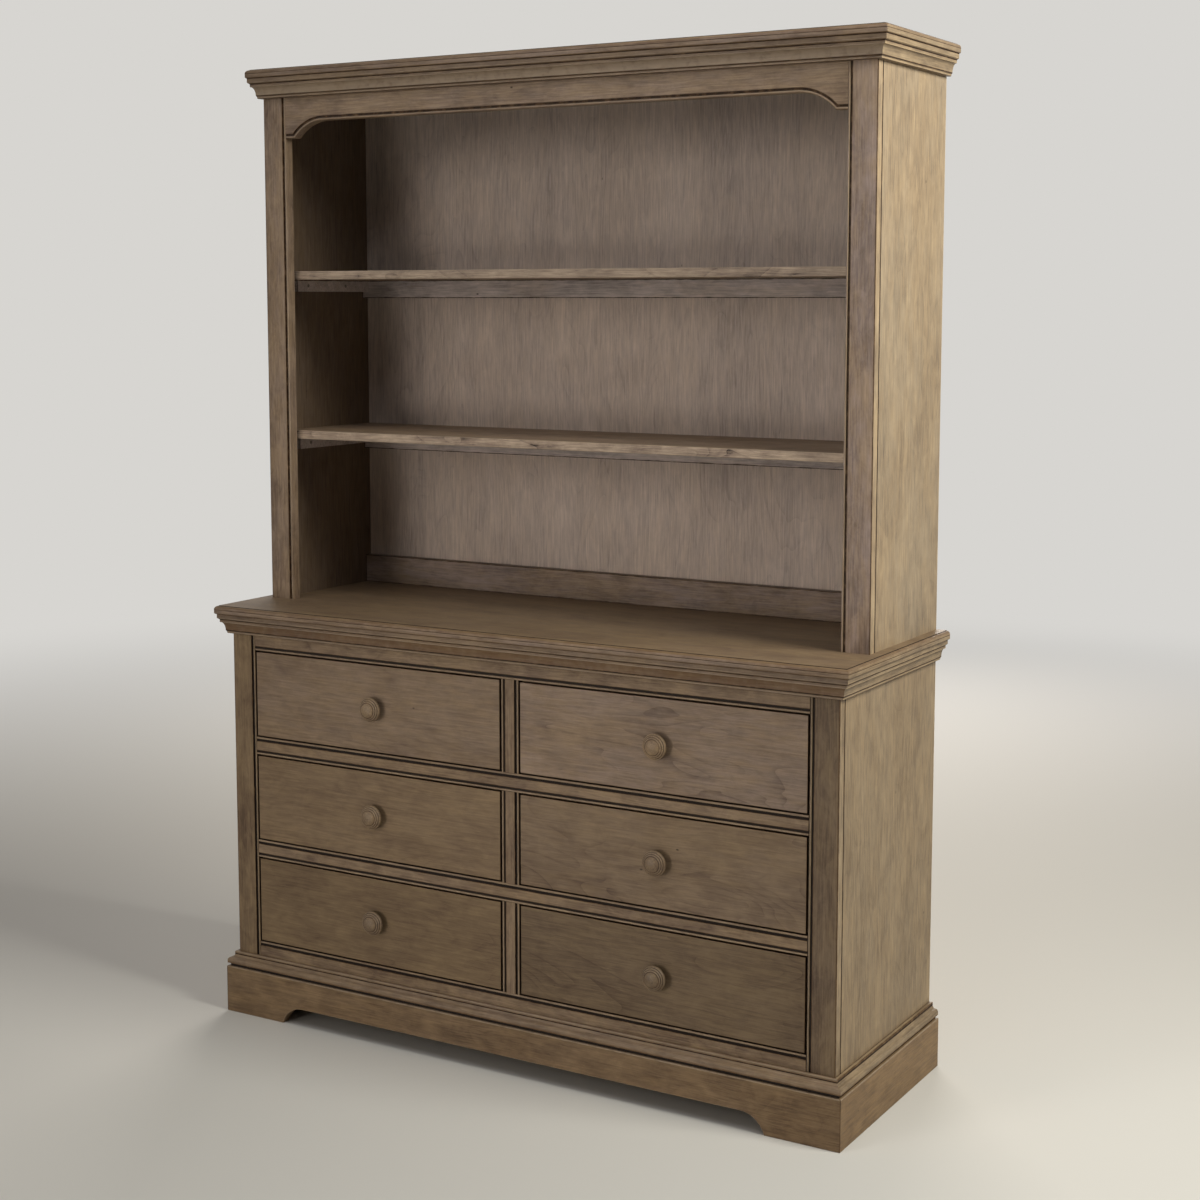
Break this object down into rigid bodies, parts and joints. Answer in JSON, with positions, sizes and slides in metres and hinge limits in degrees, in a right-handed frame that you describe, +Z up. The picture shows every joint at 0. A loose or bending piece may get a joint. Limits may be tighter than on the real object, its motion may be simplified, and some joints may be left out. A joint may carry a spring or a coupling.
{
  "type": "dresser with hutch",
  "caption": "Long low dresser with rows of sliding drawers under an open bookcase hutch with shelves, arched valance, crown moulding and arched plinth.",
  "frame": {"origin": "on the floor, under the centre of the whole outline", "axes": "+Z up, +Y from the drawers to the wall, +X to the right as seen from the front"},
  "size_m": [1.462, 0.492, 2.018],
  "materials": {
    "stained_wood": "warm grey-brown stain with dark glaze in the grooves, satin lacquer",
    "raw_plywood": "bare plywood, matt",
    "raw_timber": "bare sanded timber, matt"
  },
  "bodies": {
    "root": {"dresser_side_left": "stained_wood", "dresser_side_right": "stained_wood", "dresser_stile_left": "stained_wood", "dresser_stile_right": "stained_wood", "top_rail": "stained_wood", "upper_middle_rail": "stained_wood", "lower_middle_rail": "stained_wood", "bottom_rail": "stained_wood", "lower_mullion": "stained_wood", "middle_mullion": "stained_wood", "upper_mullion": "stained_wood", "upper_dust_panel": "raw_plywood", "lower_dust_panel": "raw_plywood", "case_bottom": "raw_plywood", "rear_base_rail": "raw_timber", "dresser_back_panel": "raw_plywood", "dresser_top": "stained_wood", "top_moulding_front": "stained_wood", "top_moulding_left": "stained_wood", "top_moulding_right": "stained_wood", "base_moulding_front": "stained_wood", "base_moulding_left": "stained_wood", "base_moulding_right": "stained_wood", "plinth_front": "stained_wood", "plinth_left": "stained_wood", "plinth_right": "stained_wood", "hutch_side_left": "stained_wood", "hutch_side_right": "stained_wood", "hutch_stile_left": "stained_wood", "hutch_stile_right": "stained_wood", "valance": "stained_wood", "hutch_back_panel": "stained_wood", "lower_shelf": "stained_wood", "lower_shelf_cleats": "stained_wood", "upper_shelf": "stained_wood", "upper_shelf_cleats": "stained_wood", "hutch_lower_rail": "stained_wood", "crown_board": "stained_wood", "crown_moulding_front": "stained_wood", "crown_moulding_left": "stained_wood", "crown_moulding_right": "stained_wood"},
    "lower_left_drawer": {"lower_left_drawer_front": "stained_wood", "lower_left_drawer_box": "raw_timber", "lower_left_knob": "stained_wood"},
    "lower_right_drawer": {"lower_right_drawer_front": "stained_wood", "lower_right_drawer_box": "raw_timber", "lower_right_knob": "stained_wood"},
    "middle_left_drawer": {"middle_left_drawer_front": "stained_wood", "middle_left_drawer_box": "raw_timber", "middle_left_knob": "stained_wood"},
    "middle_right_drawer": {"middle_right_drawer_front": "stained_wood", "middle_right_drawer_box": "raw_timber", "middle_right_knob": "stained_wood"},
    "upper_left_drawer": {"upper_left_drawer_front": "stained_wood", "upper_left_drawer_box": "raw_timber", "upper_left_knob": "stained_wood"},
    "upper_right_drawer": {"upper_right_drawer_front": "stained_wood", "upper_right_drawer_box": "raw_timber", "upper_right_knob": "stained_wood"}
  },
  "joints": [
    {"name": "lower_left_drawer_slide", "type": "slide", "parent": "root", "child": "lower_left_drawer", "axis": [0, -1, 0], "range_m": [0, 0.3]},
    {"name": "lower_right_drawer_slide", "type": "slide", "parent": "root", "child": "lower_right_drawer", "axis": [0, -1, 0], "range_m": [0, 0.3]},
    {"name": "middle_left_drawer_slide", "type": "slide", "parent": "root", "child": "middle_left_drawer", "axis": [0, -1, 0], "range_m": [0, 0.3]},
    {"name": "middle_right_drawer_slide", "type": "slide", "parent": "root", "child": "middle_right_drawer", "axis": [0, -1, 0], "range_m": [0, 0.3]},
    {"name": "upper_left_drawer_slide", "type": "slide", "parent": "root", "child": "upper_left_drawer", "axis": [0, -1, 0], "range_m": [0, 0.3]},
    {"name": "upper_right_drawer_slide", "type": "slide", "parent": "root", "child": "upper_right_drawer", "axis": [0, -1, 0], "range_m": [0, 0.3]}
  ]
}
